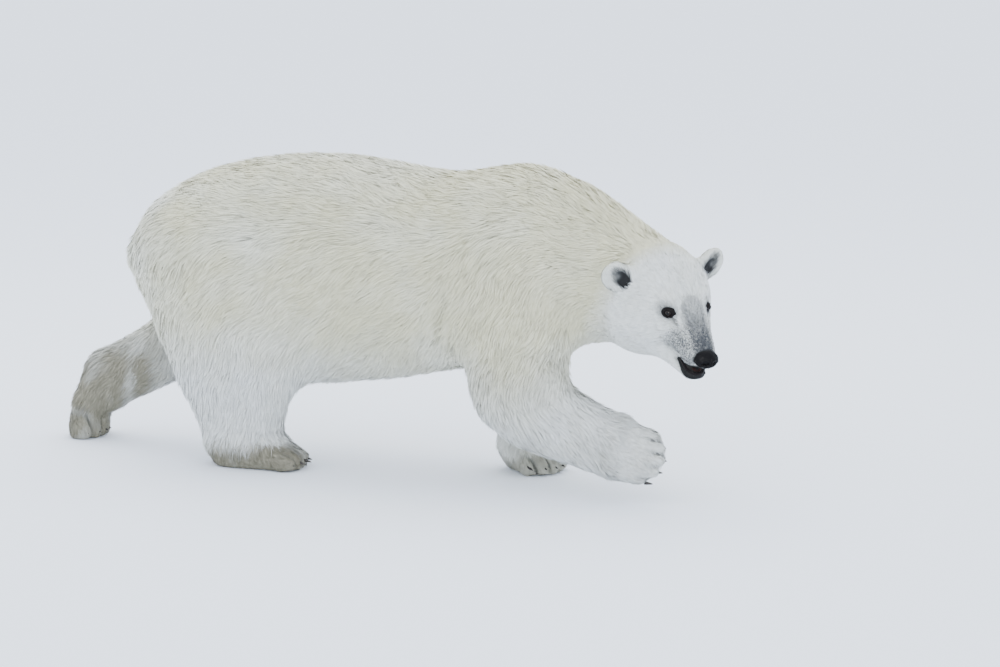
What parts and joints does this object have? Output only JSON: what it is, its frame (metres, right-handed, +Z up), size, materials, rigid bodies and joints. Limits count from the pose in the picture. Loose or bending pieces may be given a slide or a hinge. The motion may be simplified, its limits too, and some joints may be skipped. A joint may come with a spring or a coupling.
{
  "type": "polar bear",
  "caption": "Life-size walking polar bear with lowered head turned to its right, right forepaw lifted and left hind heel raised.",
  "frame": {"origin": "the middle of the bear's bounding box, on the floor", "axes": "+X is the way it walks, from tail to chest, +Y is the bear's left and +Z is up"},
  "size_m": [2.5314, 0.6388, 1.0838],
  "materials": {
    "fur": "matte, dense hair lying back and down",
    "nose": "moist, finely pebbled",
    "eye": "wet gloss",
    "claw": "smooth horn, satin"
  },
  "bodies": {
    "root": {"claw_front_left_1": "claw", "claw_front_left_2": "claw", "claw_front_left_3": "claw", "claw_front_left_4": "claw", "claw_front_left_5": "claw", "claw_front_right_1": "claw", "claw_front_right_2": "claw", "claw_front_right_3": "claw", "claw_front_right_4": "claw", "claw_front_right_5": "claw", "claw_hind_left_1": "claw", "claw_hind_left_2": "claw", "claw_hind_left_3": "claw", "claw_hind_left_4": "claw", "claw_hind_left_5": "claw", "claw_hind_right_1": "claw", "claw_hind_right_2": "claw", "claw_hind_right_3": "claw", "claw_hind_right_4": "claw", "claw_hind_right_5": "claw", "ear_left": "fur", "ear_right": "fur", "eye_left": "eye", "eye_right": "eye", "head": "fur", "leg_front_left_lower": "fur", "leg_front_left_upper": "fur", "leg_front_right_lower": "fur", "leg_front_right_upper": "fur", "leg_hind_left_lower": "fur", "leg_hind_left_upper": "fur", "leg_hind_right_lower": "fur", "leg_hind_right_upper": "fur", "lower_jaw": "fur", "neck": "fur", "nose": "nose", "paw_front_left": "fur", "paw_front_right": "fur", "paw_hind_left": "fur", "paw_hind_right": "fur", "tail": "fur", "trunk": "fur"}
  },
  "joints": []
}
